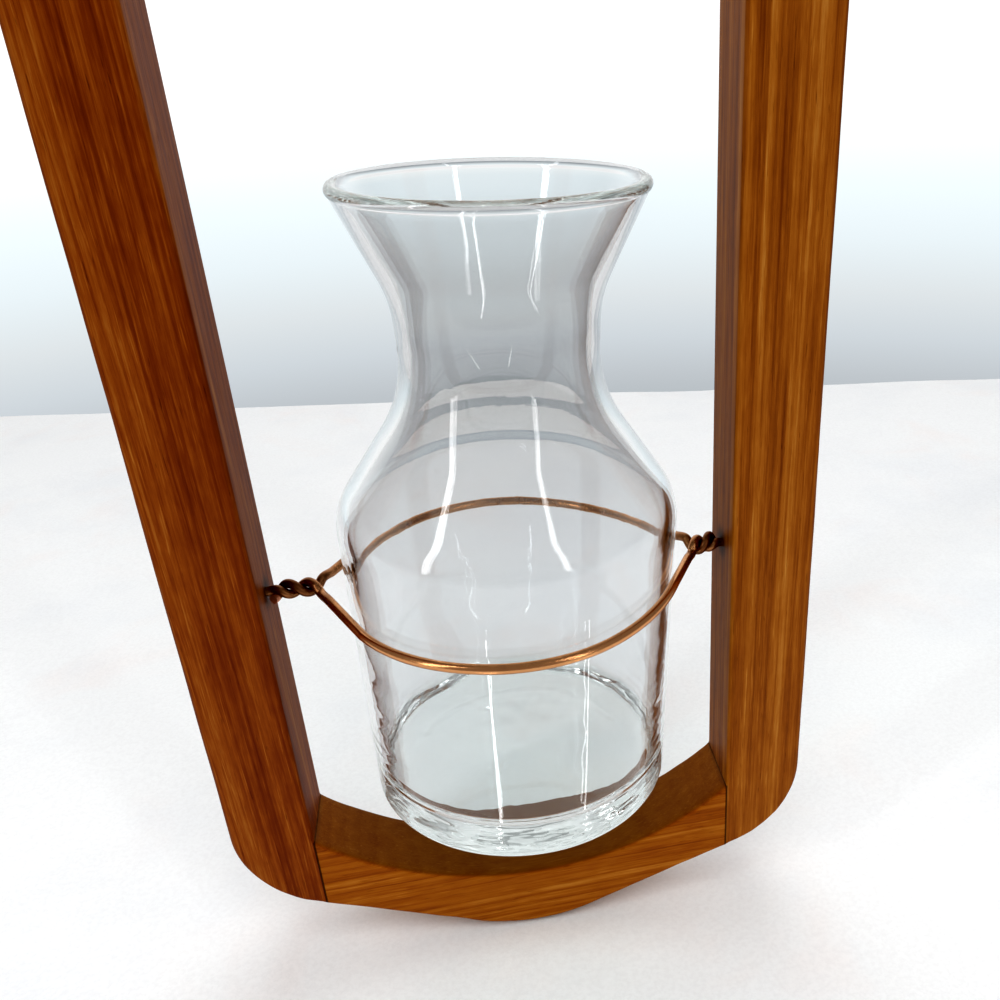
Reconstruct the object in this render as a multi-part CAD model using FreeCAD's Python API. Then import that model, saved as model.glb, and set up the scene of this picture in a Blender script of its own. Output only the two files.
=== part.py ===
import FreeCAD, Part
import math
import os

# A glass vase hanging in a copper wire ring inside a tall wooden frame.
# Millimetres, Z up, X across the front, Y from the front to the back.
# The origin is the upper mouth of the hanging hole, on top of the frame.

V = FreeCAD.Vector

# Wooden frame: two posts and two rails of square bar
BAR_W = 18.0            # width of a post, seen from the front
BAR_D = 18.0            # depth of every bar, front to back
CLEAR_H = 260.0         # bare inner face of a post, from rail to rail
JOINT_H = 19.5          # height of a rail's end, where it butts on a post
SCOOP_SAG = 18.4        # how deep the hollow side of a rail is
KEEL_SLOPE = 21.0       # degrees that a rail's outer side slopes to its middle
KEEL_R = 40.0           # round of the blunt point in the middle of a rail
CORNER_R = 24.0         # round of the frame's four outer corners
EASE_R = 1.0            # sanded round of the long edges
HANG_HOLE_D = 6.0       # hole for a cord, down through the top rail

# Dowels: two in each of the four joints
DOWEL_D = 5.0
DOWEL_L = 16.0
DOWEL_PITCH = 8.4       # between the two dowels of a joint, front to back
DOWEL_DROP_SHARE = 0.554    # from a rail's inner corner to its dowels, down its end
DOWEL_CHAMFER = 0.6
GLUE_GAP = 0.05         # glue film round a dowel
GLUE_ROOM = 0.5         # room past each end of a dowel

# Copper ring: a front wire and a back wire, twisted together at both ends
WIRE_D = 2.05
WIRE_H = 62.1           # hinge line of the ring, above the bottom rail's inner corners
LEFT_PART = 4.431       # from the ring's round stretch to where the left twist starts
RIGHT_PART = 3.53       # the same on the right
LEFT_TWIST_L = 11.0     # from there to the left post
RIGHT_TWIST_L = 7.101   # the same on the right
PIN_L = 11.0            # length of each wire end in its post
PIN_GAP = 0.08          # play round a wire end in its hole
TIP_GAP = 0.15          # from the back wire's cut ends to the posts
STRAND_GAP = 0.03       # between the twisted wires
GRIP_GAP = 0.15         # between the ring and the glass
BEND_L = 4.5            # the bend where a wire leaves its twist
FRONT_SAG = 2.45        # how far the front wire hangs below the hinge line
BACK_SAG = 1.7          # how far the back wire hangs below the hinge line
LEFT_TURNS = 1.4        # turns of the left twist
RIGHT_TURNS = 1.3       # turns of the right twist
TWIST_STEPS = 6         # points along each turn
LAY_SHARE = 0.1         # how much tighter the lay is at the ring than on average
# Share of a twist from which its front wire straightens towards the post
LEFT_STRAIGHT_SHARE = 0.5
RIGHT_STRAIGHT_SHARE = 0.3
# How much wider than two touching straight wires a tight twist has to be
LEFT_SPREAD_SHARE = 1.02
RIGHT_SPREAD_SHARE = 1.16
SWELL_SHARE = 0.18      # how much wider it is halfway through the straightening
FLARE_SHARE = 0.9       # how much wider it is at the ring, where the wires part
FLARE_L = 1.6           # length of that flare
# Sag of a wire at equal steps along the glass from left to right
FRONT_SAG_SHARES = (0.98, 1.0, 1.0, 1.0, 0.86, 0.4, -0.15)
BACK_SAG_SHARES = (-0.1, 0.0, 0.35, 0.65, 1.0, 0.9, 0.5)

# Glass vase: its outer corners, before they are rounded
VASE_H = 131.8
FOOT_R = 33.4           # outer radius at the foot
BODY_R = 35.3           # outer radius at the shoulder corner
SHOULDER_H = 69.1
NECK_LOW_R = 19.0
NECK_LOW_H = 92.6
NECK_HIGH_R = 20.0
NECK_HIGH_H = 111.1
MOUTH_R = 29.3
HEEL_ROUND = 2.0
SHOULDER_ROUND = 13.0
NECK_LOW_ROUND = 28.0
NECK_HIGH_ROUND = 22.0
GLASS_WALL = 2.3
FLOOR_T = 7.2           # thickness of the heavy base
FLOOR_ROUND = 3.5       # round between the inner floor and the wall
KICK_R = 25.0           # radius of the hollow under the base
KICK_H = 2.0            # depth of that hollow
BEAD_SHARE = 0.52       # round of the lip, as a share of the wall
GRIP_H = 50.7           # from the foot up to the ring
LEAN = 1.8              # degrees that the vase leans to the right in its ring

# Worked out from the sizes above
WIRE_R = WIRE_D / 2
STRAND_R = WIRE_R + STRAND_GAP / 2
GRIP_R = FOOT_R + (BODY_R - FOOT_R) * GRIP_H / SHOULDER_H
RING_R = GRIP_R + WIRE_R + GRIP_GAP
LEFT_TIP = RING_R + LEFT_PART
RIGHT_TIP = RING_R + RIGHT_PART
CLEAR_W = LEFT_TWIST_L + LEFT_TIP + RIGHT_TIP + RIGHT_TWIST_L
RING_X = (LEFT_TWIST_L + LEFT_TIP - RIGHT_TIP - RIGHT_TWIST_L) / 2
OVERRUN = BAR_W         # how far cutters run past the wood
DOWEL_DROP = JOINT_H * DOWEL_DROP_SHARE
HALF_W = CLEAR_W / 2
SLOPE = math.tan(math.radians(KEEL_SLOPE))
KEEL_CUT = KEEL_R * (math.hypot(1, SLOPE) - 1)
RAIL_DEPTH = JOINT_H + HALF_W * SLOPE - KEEL_CUT
HEAD_Z = -RAIL_DEPTH
SILL_Z = HEAD_Z - CLEAR_H
HINGE_Z = SILL_Z + WIRE_H
BEAD_R = GLASS_WALL * BEAD_SHARE
GRIP_Z = HINGE_Z - (FRONT_SAG + BACK_SAG) / 2
LEAN_RAD = math.radians(LEAN)


def unit(vector):
    """Return the vector with length one."""
    return vector * (1 / vector.Length)


def rounded(points, radii):
    """Edges through points (x, z), each corner rounded to its radius.

    Where two rounds would not fit on the side between them, both shrink.
    """
    spots = [V(x, 0, z) for x, z in points]
    sides = [b - a for a, b in zip(spots, spots[1:])]
    reach = [0.0] * len(spots)
    for i, radius in enumerate(radii, 1):
        reach[i] = radius * math.tan(sides[i - 1].getAngle(sides[i]) / 2)
    fit = [1.0] * len(spots)
    for i, side in enumerate(sides):
        asked = reach[i] + reach[i + 1]
        if asked > side.Length:
            share = side.Length / asked
            fit[i] = min(fit[i], share)
            fit[i + 1] = min(fit[i + 1], share)
    edges = []
    last = spots[0]
    for i in range(1, len(spots) - 1):
        go_in = unit(sides[i - 1])
        go_out = unit(sides[i])
        length = reach[i] * fit[i]
        if length > 0:
            start = spots[i] - go_in * length
            end = spots[i] + go_out * length
            edges += line(last, start)
            edges += arc(start, go_in, end)
            last = end
        else:
            edges += line(last, spots[i])
            last = spots[i]
    return edges + line(last, spots[-1])


def line(start, end):
    """A straight edge in a list, or no edge where the ends meet."""
    if start.isEqual(end, WIRE_R / 1000):
        return []
    return [Part.LineSegment(start, end).toShape()]


def arc(start, heading, end):
    """The arc in a list that leaves start along heading and reaches end."""
    chord = end - start
    across = chord - heading * chord.dot(heading)
    if across.Length < chord.Length / 10000:
        return line(start, end)
    across = unit(across)
    radius = chord.Length ** 2 / (2 * chord.dot(across))
    centre = start + across * radius
    halfway = unit((start - centre) + (end - centre))
    return [Part.Arc(start, centre + halfway * radius, end).toShape()]


def biarc(start, heading, end, final):
    """Two arcs in a list, smooth from heading at start to final at end."""
    chord = end - start
    both = heading + final
    turn = 2 * (1 - heading.dot(final))
    reach = chord.dot(both)
    if turn < 1 / 10000000:
        step = chord.Length ** 2 / (2 * reach)
    else:
        step = (math.sqrt(reach ** 2 + turn * chord.Length ** 2) - reach) / turn
    middle = (start + end + (heading - final) * step) * (1 / 2)
    back = arc(end, final * -1, middle)
    return arc(start, heading, middle) + back


def prism(edges):
    """A closed outline in the XZ plane as a bar of the frame's depth."""
    face = Part.Face(Part.Wire(edges))
    face.translate(V(0, -BAR_D / 2, 0))
    return face.extrude(V(0, BAR_D, 0))


def ease(bar, keep_x):
    """Round the long edges of a bar, but not those at the joint faces."""
    picked = []
    for edge in bar.Edges:
        centre = edge.CenterOfMass
        on_face = abs(abs(centre.y) - BAR_D / 2) < EASE_R / 100
        at_joint = any(abs(centre.x - x) < EASE_R / 100 for x in keep_x)
        if on_face and not at_joint:
            picked.append(edge)
    return bar.makeFillet(EASE_R, picked)


def rail():
    """A rail with its hollow side up and its inner corners at z = 0."""
    left = V(-HALF_W, 0, 0)
    right = V(HALF_W, 0, 0)
    scoop = Part.Arc(right, V(0, 0, -SCOOP_SAG), left).toShape()
    apex = (0, -JOINT_H - HALF_W * SLOPE)
    keel = rounded([(-HALF_W, 0), (-HALF_W, -JOINT_H), apex, (HALF_W, -JOINT_H), (HALF_W, 0)],
                   [0, KEEL_R, 0])
    bar = ease(prism(keel + [scoop]), (-HALF_W, HALF_W))
    for side in (-1, 1):
        bar = bar.cut(dowel_holes(side))
    return bar


def dowel_places():
    """Where the two dowels of a joint lie, front first."""
    return [V(0, -DOWEL_PITCH / 2, -DOWEL_DROP), V(0, DOWEL_PITCH / 2, -DOWEL_DROP)]


def dowel_holes(side):
    """The blind holes of one joint of a rail and its post."""
    radius = DOWEL_D / 2 + GLUE_GAP
    length = DOWEL_L + 2 * GLUE_ROOM
    start = V(side * HALF_W - length / 2, 0, 0)
    holes = [Part.makeCylinder(radius, length, start + place, V(1, 0, 0)) for place in dowel_places()]
    return holes[0].fuse(holes[1])


def dowel(side, place):
    """One dowel with bevelled ends, half in the rail and half in the post."""
    start = V(side * HALF_W - DOWEL_L / 2, 0, 0) + place
    peg = Part.makeCylinder(DOWEL_D / 2, DOWEL_L, start, V(1, 0, 0))
    rims = [edge for edge in peg.Edges if len(edge.Vertexes) == 1]
    return peg.makeChamfer(DOWEL_CHAMFER, rims)


def at_sill(shape):
    """Put a shape of the lower joints in its place."""
    return shape.translated(V(0, 0, SILL_Z))


def at_head(shape):
    """Turn a shape of the lower joints over, for the upper joints."""
    return shape.mirror(V(0, 0, 0), V(0, 0, 1)).translated(V(0, 0, HEAD_Z))


def post(side):
    """A post with round outer corners, eased edges and its holes."""
    outer = HALF_W + BAR_W
    rise = BAR_W * SLOPE
    low = SILL_Z - JOINT_H
    high = HEAD_Z + JOINT_H
    outline = [(HALF_W, low), (outer, low + rise), (outer, high - rise), (HALF_W, high)]
    edges = rounded(outline, [CORNER_R, CORNER_R])
    edges += line(V(HALF_W, 0, high), V(HALF_W, 0, low))
    bar = ease(prism(edges), (HALF_W,))
    bar = bar.cut(inner_arris(BAR_D / 2))
    bar = bar.cut(inner_arris(-BAR_D / 2))
    if side < 0:
        bar = bar.mirror(V(0, 0, 0), V(1, 0, 0))
    bar = bar.cut(at_sill(dowel_holes(side)))
    bar = bar.cut(at_head(dowel_holes(side)))
    hole = Part.makeCylinder(WIRE_R + PIN_GAP, PIN_L + GLUE_ROOM + OVERRUN,
                             V(side * (HALF_W - OVERRUN), 0, HINGE_Z), V(side, 0, 0))
    return bar.cut(hole)


def inner_arris(y):
    """What sanding takes off one inner edge of the right post, rail to rail."""
    inward = -math.copysign(1, y)
    corner = V(HALF_W, y, SILL_Z)
    out = V(-EASE_R, math.copysign(EASE_R, y), 0)
    along_x = corner + V(EASE_R, 0, 0)
    along_y = corner + V(0, inward * EASE_R, 0)
    hub = corner + V(EASE_R, inward * EASE_R, 0)
    middle = hub + unit(out) * EASE_R
    round_edge = Part.Arc(along_x, middle, along_y).toShape()
    back_x = along_x + V(0, out.y, 0)
    back_y = along_y + V(out.x, 0, 0)
    edges = [round_edge] + line(along_y, back_y) + line(back_y, corner + out)
    edges += line(corner + out, back_x) + line(back_x, along_x)
    return Part.Face(Part.Wire(edges)).extrude(V(0, 0, CLEAR_H))


def top_rail():
    """The upper rail, hollow side down, with the hanging hole."""
    bar = at_head(rail())
    hole = Part.makeCylinder(HANG_HOLE_D / 2, RAIL_DEPTH + 2 * OVERRUN, V(0, 0, -RAIL_DEPTH - OVERRUN))
    return bar.cut(hole)


def body_radius(height):
    """Outer radius of the glass at a height on its nearly straight wall."""
    return FOOT_R + (BODY_R - FOOT_R) * height / SHOULDER_H


def vase_axis():
    """The middle of the vase's foot and the direction of its axis."""
    axis = V(math.sin(LEAN_RAD), 0, math.cos(LEAN_RAD))
    return V(RING_X, 0, GRIP_Z) - axis * GRIP_H, axis


def grip_point(angle, front, z):
    """A point of the wire against the glass, by its angle from the left."""
    foot, axis = vase_axis()
    middle_x = foot.x + (z - foot.z) * axis.x / axis.z
    spot = V(middle_x, 0, z)
    for _ in range(4):
        height = (spot - foot).dot(axis)
        reach = body_radius(height) + WIRE_R + GRIP_GAP
        spot = V(middle_x - reach * math.cos(angle) / axis.z, front * reach * math.sin(angle), z)
    return spot


def twists():
    """Start, length, turns, straightening share and spread of both twists."""
    left = (-1, LEFT_TIP, LEFT_TWIST_L, LEFT_TURNS, LEFT_STRAIGHT_SHARE, LEFT_SPREAD_SHARE)
    right = (1, RIGHT_TIP, RIGHT_TWIST_L, RIGHT_TURNS, RIGHT_STRAIGHT_SHARE, RIGHT_SPREAD_SHARE)
    return left, right


def strand(place, front, share):
    """A point of a twisted wire, at a share of the way from ring to post.

    The front wire ends on the hinge line and goes into the post. The back
    wire is wound round it and ends beside it.
    """
    side, start, length, turns, straight, spread = place
    angle = 2 * math.pi * turns * (share + LAY_SHARE * share * (1 - share))
    late = max(0.0, (share - straight) / (1 - straight))
    blend = late * late * (3 - 2 * late)
    early = max(0.0, 1 - share * length / FLARE_L)
    wide = spread + SWELL_SHARE * 4 * blend * (1 - blend) + FLARE_SHARE * early ** 2
    if front < 0:
        radius = STRAND_R * wide * (1 - blend)
    else:
        radius = STRAND_R * (wide + (2 - wide) * blend)
    return V(RING_X + side * (start + share * length), front * radius * math.cos(angle),
             HINGE_Z - front * radius * math.sin(angle))


def twist(place, front):
    """Points and headings of one wire of a twist, from the ring to the post."""
    side, _, _, turns, _, _ = place
    steps = math.ceil(turns * TWIST_STEPS)
    shares = [i / steps for i in range(steps + 1)]
    points = [strand(place, front, share) for share in shares]
    ahead = [strand(place, front, share + 1 / 1000) for share in shares]
    behind = [strand(place, front, share - 1 / 1000) for share in shares]
    headings = [unit(a - b) * side for a, b in zip(ahead, behind)]
    return points, headings


def tangent_angle(across, out):
    """Where a straight wire from a twist meets the ring's round stretch.

    The twist's end is given by its distances from the ring's middle, across
    the frame and out of it. The angle is that of the tangent point.
    """
    return math.atan2(out, across) + math.acos(RING_R / math.hypot(across, out))


def loop(front, sag, shares):
    """Points and headings of one wire from its left bend to its right bend.

    It comes straight from a twist to where it is tangent to the glass.
    """
    left, right = (strand(place, front, 0) for place in twists())
    first = tangent_angle(RING_X - left.x, abs(left.y))
    last = math.pi - tangent_angle(right.x - RING_X, abs(right.y))
    step = (last - first) / (len(shares) - 1)
    angles = [first + i * step for i in range(len(shares))]
    points = [grip_point(a, front, HINGE_Z - sag * s) for a, s in zip(angles, shares)]
    headings = []
    for i, angle in enumerate(angles):
        before = points[max(i - 1, 0)]
        after = points[min(i + 1, len(points) - 1)]
        flat = math.hypot(after.x - before.x, after.y - before.y)
        rise = (after.z - before.z) / flat
        headings.append(unit(V(math.sin(angle), front * math.cos(angle), rise)))
    run_in = unit(points[0] - left)
    run_out = unit(right - points[-1])
    headings[0] = run_in
    headings[-1] = run_out
    points = [left + run_in * BEND_L] + points + [right - run_out * BEND_L]
    return points, [run_in] + headings + [run_out]


def wire_path(front, sag, shares):
    """Every point and heading of a wire, from left to right."""
    (left, left_headings), (right, right_headings) = (twist(place, front) for place in twists())
    points, headings = loop(front, sag, shares)
    path = left[::-1] + points + right
    headings = left_headings[::-1] + headings + right_headings
    if front < 0:
        along = V(1, 0, 0)
        headings[0] = along
        headings[-1] = along
        path = [path[0] - along * PIN_L] + path + [path[-1] + along * PIN_L]
        headings = [along] + headings + [along]
    return path, headings


def smooth_edges(path, headings):
    """Biarcs through the points, smooth at every one."""
    edges = []
    for i in range(len(path) - 1):
        edges += ordered(biarc(path[i], headings[i], path[i + 1], headings[i + 1]), path[i])
    return edges


def ordered(edges, start):
    """The edges of a biarc as running on from start, whatever their sense."""
    place = start
    result = []
    for edge in edges:
        ends = [edge.valueAt(edge.FirstParameter), edge.valueAt(edge.LastParameter)]
        if (ends[0] - place).Length > (ends[1] - place).Length:
            ends.reverse()
            half = edge.valueAt((edge.FirstParameter + edge.LastParameter) / 2)
            straight = (ends[1] - ends[0]).Length >= edge.Length * (1 - 1 / 1000000)
            edge = line(*ends)[0] if straight else Part.Arc(ends[0], half, ends[1]).toShape()
        result.append(edge)
        place = ends[1]
    return result


def wire(front, sag, shares):
    """One copper wire as an unbroken round rod."""
    path, headings = wire_path(front, sag, shares)
    edges = smooth_edges(path, headings)
    spine = Part.Wire(edges)
    heading = edges[0].tangentAt(edges[0].FirstParameter)
    section = Part.Wire(Part.makeCircle(WIRE_R, path[0], heading))
    rod = spine.makePipeShell([section], True, False)
    if front > 0:
        rod = rod.common(between_posts())
    return rod, edges


def between_posts():
    """The space that the back wire is cut off to, just clear of both posts."""
    width = CLEAR_W - 2 * TIP_GAP
    depth = 2 * (RING_R + OVERRUN)
    corner = V(-width / 2, -depth / 2, HINGE_Z - depth / 2)
    return Part.makeBox(width, depth, depth, corner)


def samples(edges):
    """Points along a wire, about a tenth of its diameter apart."""
    points = []
    for edge in edges:
        count = max(2, int(edge.Length / WIRE_D * 10))
        points += edge.discretize(count)
    return points


def wire_report(name, rod, edges):
    """Print a wire's length, its tightest bend and how its volume agrees."""
    length = sum(edge.Length for edge in edges)
    bends = [edge.Curve.Radius for edge in edges if hasattr(edge.Curve, "Radius")]
    share = rod.Volume / (length * math.pi * WIRE_R ** 2)
    print(name, "length", round(length, 2), "tightest bend", round(min(bends), 2),
          "volume share", round(share, 4))


def inset(points, gap):
    """The same run of points, moved to its left by gap."""
    spots = [V(x, 0, z) for x, z in points]
    normals = []
    for a, b in zip(spots, spots[1:]):
        side = unit(b - a)
        normals.append(V(-side.z, 0, side.x))
    moved = []
    for i, spot in enumerate(spots):
        near = normals[max(i - 1, 0)]
        far = normals[min(i, len(normals) - 1)]
        move = (near + far) * (gap / (1 + near.dot(far)))
        moved.append((spot.x + move.x, spot.z + move.z))
    return moved


def vase():
    """The vase: heavy base, straight body, waisted neck and beaded lip."""
    lip_r = MOUTH_R - BEAD_R
    lip_h = VASE_H - BEAD_R
    outside = [(FOOT_R, 0), (BODY_R, SHOULDER_H), (NECK_LOW_R, NECK_LOW_H),
               (NECK_HIGH_R, NECK_HIGH_H), (lip_r + GLASS_WALL / 2, lip_h)]
    rounds = [SHOULDER_ROUND, NECK_LOW_ROUND, NECK_HIGH_ROUND]
    inside = inset(outside, GLASS_WALL)
    (foot_r, foot_h), (wall_r, wall_h) = inside[:2]
    floor_r = foot_r + (wall_r - foot_r) * (FLOOR_T - foot_h) / (wall_h - foot_h)
    inside = [(0, FLOOR_T), (floor_r, FLOOR_T)] + inside[1:]
    inner_rounds = [FLOOR_ROUND, SHOULDER_ROUND - GLASS_WALL, NECK_LOW_ROUND + GLASS_WALL,
                    NECK_HIGH_ROUND + GLASS_WALL]
    edges = line(V(0, 0, FLOOR_T), V(0, 0, KICK_H))
    edges += rounded([(0, KICK_H), (KICK_R, 0)] + outside, [0, HEEL_ROUND] + rounds)
    edges += line(V(outside[-1][0], 0, outside[-1][1]), V(inside[-1][0], 0, inside[-1][1]))
    edges += rounded(inside, inner_rounds)
    section = Part.Face(Part.Wire(Part.__sortEdges__(edges)))
    body = section.revolve(V(0, 0, 0), V(0, 0, 1), 360)
    lip = Part.makeTorus(lip_r, BEAD_R, V(0, 0, lip_h))
    glass = body.fuse(lip).removeSplitter()
    foot, _ = vase_axis()
    glass.rotate(V(0, 0, 0), V(0, 1, 0), LEAN)
    return glass.translated(foot)


def single(shape):
    """The one solid that a shape holds."""
    if len(shape.Solids) != 1:
        raise ValueError("a piece has %d solids" % len(shape.Solids))
    return shape.Solids[0]


def build():
    """Every piece by its node's name."""
    front_rod, front_edges = wire(-1, FRONT_SAG, FRONT_SAG_SHARES)
    back_rod, back_edges = wire(1, BACK_SAG, BACK_SAG_SHARES)
    wire_report("front_wire", front_rod, front_edges)
    wire_report("back_wire", back_rod, back_edges)
    near = min(a.distanceToPoint(b) for a in samples(front_edges) for b in samples(back_edges))
    print("least gap between the wires", round(near - WIRE_D, 3))
    pieces = {
        "left_post": post(-1),
        "right_post": post(1),
        "bottom_rail": at_sill(rail()),
        "top_rail": top_rail(),
        "front_wire": front_rod,
        "back_wire": back_rod,
        "glass_vase": vase(),
    }
    for level, put in (("lower", at_sill), ("upper", at_head)):
        for side, side_name in ((-1, "left"), (1, "right")):
            for place, place_name in zip(dowel_places(), ("front", "back")):
                name = "dowel_%s_%s_%s" % (level, side_name, place_name)
                pieces[name] = put(dowel(side, place))
    return pieces


os.makedirs("parts", exist_ok=True)
for name, shape in build().items():
    solid = single(shape)
    solid.exportStep("parts/%s.step" % name)
    box = solid.BoundBox
    print(name, "valid", solid.isValid(), "volume", round(solid.Volume, 1),
          "z", round(box.ZMin, 2), round(box.ZMax, 2))
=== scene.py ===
"""A glass propagation vase in a copper ring, inside a tall wooden frame.

Shapes are worked out in millimetres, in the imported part's frame, and go into
their meshes in metres.
"""

import logging
import math
from dataclasses import dataclass
from enum import Enum
from typing import Any, Iterable, Mapping, Sequence

import bmesh
import bpy
import numpy as np
from mathutils import Matrix, Vector


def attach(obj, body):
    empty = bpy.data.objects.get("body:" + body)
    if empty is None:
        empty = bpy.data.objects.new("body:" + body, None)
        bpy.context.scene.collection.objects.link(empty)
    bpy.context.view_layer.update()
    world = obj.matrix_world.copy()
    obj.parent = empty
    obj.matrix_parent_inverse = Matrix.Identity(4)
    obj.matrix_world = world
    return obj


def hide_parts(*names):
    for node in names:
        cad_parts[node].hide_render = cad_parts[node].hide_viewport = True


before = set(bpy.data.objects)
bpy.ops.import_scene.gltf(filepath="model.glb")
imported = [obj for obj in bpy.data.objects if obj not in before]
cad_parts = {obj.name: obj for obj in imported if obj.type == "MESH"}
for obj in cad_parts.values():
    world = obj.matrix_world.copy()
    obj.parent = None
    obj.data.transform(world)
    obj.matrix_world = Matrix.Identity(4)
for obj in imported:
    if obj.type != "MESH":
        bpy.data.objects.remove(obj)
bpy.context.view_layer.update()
LOG = logging.getLogger("vase")
MM = 0.001

Array = np.ndarray
Colour = tuple[float, float, float]


class Body(Enum):
    """The bodies that move on their own."""

    FRAME = "frame"
    RING = "ring"
    VASE = "vase"


class Slot(Enum):
    """The finishes that the record names."""

    LEFT = "left_wood"
    RIGHT = "right_wood"
    RAIL = "rail_wood"
    DOWEL = "dowel_wood"
    COPPER = "copper"
    GLASS = "glass"


class Level(Enum):
    """The two rails."""

    LOWER = "bottom_rail"
    UPPER = "top_rail"


# Shaders


class Field:
    """One node socket, as a value that Python's own operators work on."""

    def __init__(self, recipe: "Recipe", socket: bpy.types.NodeSocket) -> None:
        """Wrap a socket of the recipe's tree."""
        self.recipe = recipe
        self.socket = socket

    def __add__(self, other: Any) -> "Field":
        """This plus other."""
        return self.recipe.maths("ADD", self, other)

    def __sub__(self, other: Any) -> "Field":
        """This less other."""
        return self.recipe.maths("SUBTRACT", self, other)

    def __rsub__(self, other: Any) -> "Field":
        """Other less this."""
        return self.recipe.maths("SUBTRACT", other, self)

    def __mul__(self, other: Any) -> "Field":
        """This times other."""
        return self.recipe.maths("MULTIPLY", self, other)

    def __truediv__(self, other: Any) -> "Field":
        """This over other."""
        return self.recipe.maths("DIVIDE", self, other)

    def __pow__(self, other: Any) -> "Field":
        """This to the power of other."""
        return self.recipe.maths("POWER", self, other)

    __radd__ = __add__
    __rmul__ = __mul__


class Recipe:
    """The nodes of a material, or of the world, while they are put together."""

    def __init__(self, name: str, owner: Any = None) -> None:
        """Start with no nodes.

        Args:
            name: the new material's name.
            owner: a world, where the nodes aren't for a new material.
        """
        self.owner = owner or bpy.data.materials.new(name)
        self.owner.use_nodes = True
        self.tree = self.owner.node_tree
        self.tree.nodes.clear()

    def node(self, kind: str, settings: Mapping[str, Any] | None = None,
             inputs: Mapping[int | str, Any] | None = None, out: int | str = 0) -> Field:
        """Add a node.

        Args:
            kind: the node's type.
            settings: its own settings, set first; "stops" is a ramp's list of
                (place, colour).
            inputs: a value or a Field for each named or numbered socket.
            out: the output that is returned.

        Returns:
            The output as a Field.
        """
        made = self.tree.nodes.new(kind)
        for name, value in (settings or {}).items():
            if name == "stops":
                ramp = made.color_ramp.elements
                while len(ramp) < len(value):
                    ramp.new(1.0)
                for stop, (place, colour) in zip(ramp, value):
                    stop.position = place
                    stop.color = (*colour, 1.0)
            else:
                setattr(made, name, value)
        for name, value in (inputs or {}).items():
            if isinstance(value, Field):
                self.tree.links.new(value.socket, made.inputs[name])
            else:
                made.inputs[name].default_value = value
        return Field(self, made.outputs[out])

    def maths(self, operation: str, *values: Any) -> Field:
        """A Math node on values."""
        return self.node("ShaderNodeMath", {"operation": operation}, dict(enumerate(values)))

    def place(self, turn: Sequence[float] = (0, 0, 0), shift: Sequence[float] = (0, 0, 0)) -> Field:
        """Find the position on the piece, in its own object coordinates.

        Args:
            turn: the degrees that it is turned by about each axis.
            shift: how far it is then moved along each axis.

        Returns:
            The position in millimetres.
        """
        spot = self.node("ShaderNodeTexCoord", out="Object")
        return self.node("ShaderNodeMapping", {"vector_type": "POINT"}, {
            "Vector": spot, "Location": tuple(shift), "Scale": (1 / MM,) * 3,
            "Rotation": tuple(math.radians(a) for a in turn)})

    def stretch(self, spot: Field, by: Sequence[float]) -> Field:
        """A position with each axis multiplied."""
        return self.node("ShaderNodeVectorMath", {"operation": "MULTIPLY"}, {0: spot, 1: tuple(by)})

    def noise(self, spot: Field, by: Sequence[float], detail: float = 2.0, rough: float = 0.5,
              twist: float = 0.0) -> Field:
        """Make soft noise.

        Args:
            spot: the position.
            by: the noise's scale on each axis.
            detail: how many finer layers it has.
            rough: how strong the finer layers are.
            twist: how far it distorts itself.

        Returns:
            The noise, from 0 to 1.
        """
        return self.node("ShaderNodeTexNoise", inputs={
            "Vector": self.stretch(spot, by), "Scale": 1.0, "Detail": detail, "Roughness": rough,
            "Distortion": twist})

    def axis(self, spot: Field, which: str) -> Field:
        """One coordinate of a position."""
        return self.node("ShaderNodeSeparateXYZ", inputs={0: spot}, out=which)

    def step(self, value: Any, low: float, high: float, start: float = 0.0, end: float = 1.0) -> Field:
        """A smooth step from start to end as value goes from low to high."""
        return self.node("ShaderNodeMapRange", {"interpolation_type": "SMOOTHSTEP"}, {
            "Value": value, "From Min": low, "From Max": high, "To Min": start, "To Max": end})

    def ramp(self, value: Field, stops: Sequence[tuple[float, Colour]]) -> Field:
        """A colour from a ramp of stops."""
        return self.node("ShaderNodeValToRGB", {"stops": stops}, {0: value})

    def mix(self, share: Any, first: Any, second: Any, blend: str = "MIX") -> Field:
        """Mix two colours.

        Args:
            share: how much of the second is taken.
            first: a colour or a Field.
            second: a colour or a Field.
            blend: the kind of mix.

        Returns:
            The mixed colour.
        """
        pair = [c if isinstance(c, Field) else (*c, 1.0) for c in (first, second)]
        return self.node("ShaderNodeMix", {"data_type": "RGBA", "blend_type": blend},
                         {0: share, 6: pair[0], 7: pair[1]}, 2)

    def bump(self, strength: float, distance: float, height: Field) -> Field:
        """A normal bumped by height, which is worth distance, in metres, at 1."""
        return self.node("ShaderNodeBump", out="Normal", inputs={
            "Strength": strength, "Distance": distance, "Height": height})

    def finish(self, surface: Field, inside: Field | None = None, kind: str = "Material") -> Any:
        """Join the shaders to the output.

        Args:
            surface: the surface shader.
            inside: the volume shader, where there is one.
            kind: Material or World.

        Returns:
            The finished material or world.
        """
        inputs = {"Surface": surface} if inside is None else {"Surface": surface, "Volume": inside}
        made = self.tree.nodes.new("ShaderNodeOutput" + kind)
        for name, value in inputs.items():
            self.tree.links.new(value.socket, made.inputs[name])
        return self.owner


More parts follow.
